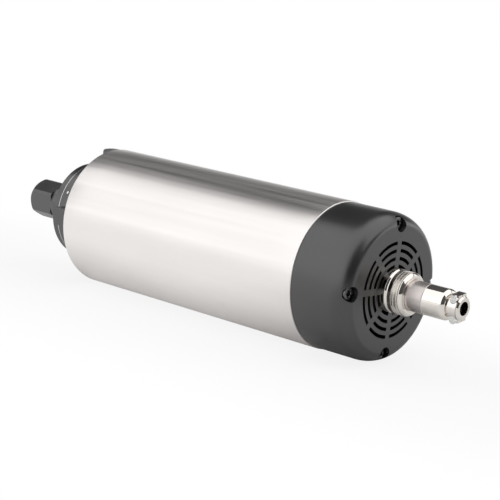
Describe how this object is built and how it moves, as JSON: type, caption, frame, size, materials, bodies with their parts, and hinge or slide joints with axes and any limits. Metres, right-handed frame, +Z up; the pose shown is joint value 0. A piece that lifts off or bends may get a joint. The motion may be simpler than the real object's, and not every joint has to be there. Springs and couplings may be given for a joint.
{
  "type": "motor spindle",
  "caption": "Air-cooled round motor spindle with a steel barrel, collet nose, grilled rear cover and a screwed plug.",
  "frame": {"origin": "on the spindle's axis, half way along the steel tube that a clamp grips", "axes": "+X along the axis to the rear, where the plug is, -X to the collet nut; +Z up, through one of the four cover screws"},
  "size_m": [0.2576, 0.065, 0.065],
  "materials": {
    "tube_steel": "polished stainless steel",
    "black_housing": "satin black anodised aluminium",
    "black_cover": "smooth satin black coating",
    "black_oxide": "black oxide on steel",
    "nickel": "bright nickel plate",
    "satin_nickel": "satin nickel plate",
    "shaft_steel": "ground steel",
    "bearing_steel": "ground and polished",
    "screw_steel": "black oxide",
    "plated_steel": "zinc plate",
    "lamination_steel": "stacked sheet edges",
    "copper_winding": "enamelled copper wire",
    "aluminium": "machined",
    "cast_aluminium": "as cast",
    "black_nylon": "moulded",
    "insulator_black": "moulded phenolic",
    "cage_resin": "fabric-filled resin",
    "contact_brass": "plated brass"
  },
  "bodies": {
    "housing": {"outer_tube": "tube_steel", "finned_core": "aluminium", "front_housing": "black_housing", "housing_screws": "screw_steel", "dowel_pin": "plated_steel", "bearing_cover": "black_housing", "bearing_cover_screws": "screw_steel", "front_outer_races": "bearing_steel", "rear_outer_race": "bearing_steel", "stator_core": "lamination_steel", "stator_winding": "copper_winding", "bearing_plate": "cast_aluminium", "preload_spring": "shaft_steel", "rear_cover": "black_cover", "rear_cover_screws": "screw_steel", "socket_shell": "nickel", "socket_nut": "nickel", "socket_insulator": "insulator_black", "socket_pins": "contact_brass"},
    "rotor": {"shaft": "shaft_steel", "rotor_core": "lamination_steel", "rotor_end_rings": "cast_aluminium", "front_inner_races": "bearing_steel", "rear_inner_race": "bearing_steel", "bearing_lock_nut": "black_oxide", "wrench_collar": "black_oxide", "dust_ring": "black_oxide", "fan_spacer": "aluminium", "fan": "black_nylon", "fan_washer": "plated_steel", "fan_screw": "screw_steel"},
    "front_ball_train": {"front_balls": "bearing_steel", "front_cages": "cage_resin"},
    "rear_ball_train": {"rear_balls": "bearing_steel", "rear_cage": "cage_resin"},
    "collet": {"collet": "bearing_steel"},
    "collet_nut": {"collet_nut": "black_oxide"},
    "plug": {"plug_front_shell": "satin_nickel", "plug_rear_shell": "nickel", "plug_insulator": "insulator_black", "plug_contacts": "contact_brass", "cable_clamp": "nickel", "cable_clamp_screws": "plated_steel"},
    "coupling_ring": {"coupling_ring": "nickel"}
  },
  "joints": [
    {"name": "spindle_spin", "type": "hinge", "parent": "housing", "child": "rotor", "pos_m": [0, 0, 0], "axis": [-1, 0, 0], "continuous": true},
    {"name": "front_cage_spin", "type": "hinge", "parent": "housing", "child": "front_ball_train", "pos_m": [-0.0734, 0, 0], "axis": [-1, 0, 0], "continuous": true},
    {"name": "rear_cage_spin", "type": "hinge", "parent": "housing", "child": "rear_ball_train", "pos_m": [0.052, 0, 0], "axis": [-1, 0, 0], "continuous": true},
    {"name": "collet_travel", "type": "slide", "parent": "rotor", "child": "collet", "axis": [-1, 0, 0], "range_m": [0, 0.012]},
    {"name": "nut_turn", "type": "hinge", "parent": "collet", "child": "collet_nut", "pos_m": [-0.1147, 0, 0], "axis": [-1, 0, 0], "range_deg": [0, 5762]},
    {"name": "plug_travel", "type": "slide", "parent": "housing", "child": "plug", "axis": [1, 0, 0], "range_m": [0, 0.005]},
    {"name": "ring_turn", "type": "hinge", "parent": "plug", "child": "coupling_ring", "pos_m": [0.105, 0, 0], "axis": [1, 0, 0], "range_deg": [0, 1801]}
  ],
  "couplings": [
    {"joint": "front_cage_spin", "follows": "spindle_spin", "ratio": 0.3987},
    {"joint": "rear_cage_spin", "follows": "spindle_spin", "ratio": 0.381},
    {"joint": "nut_turn", "follows": "collet_travel", "rad_per_m": 8377.6},
    {"joint": "ring_turn", "follows": "plug_travel", "rad_per_m": 6283.2}
  ]
}
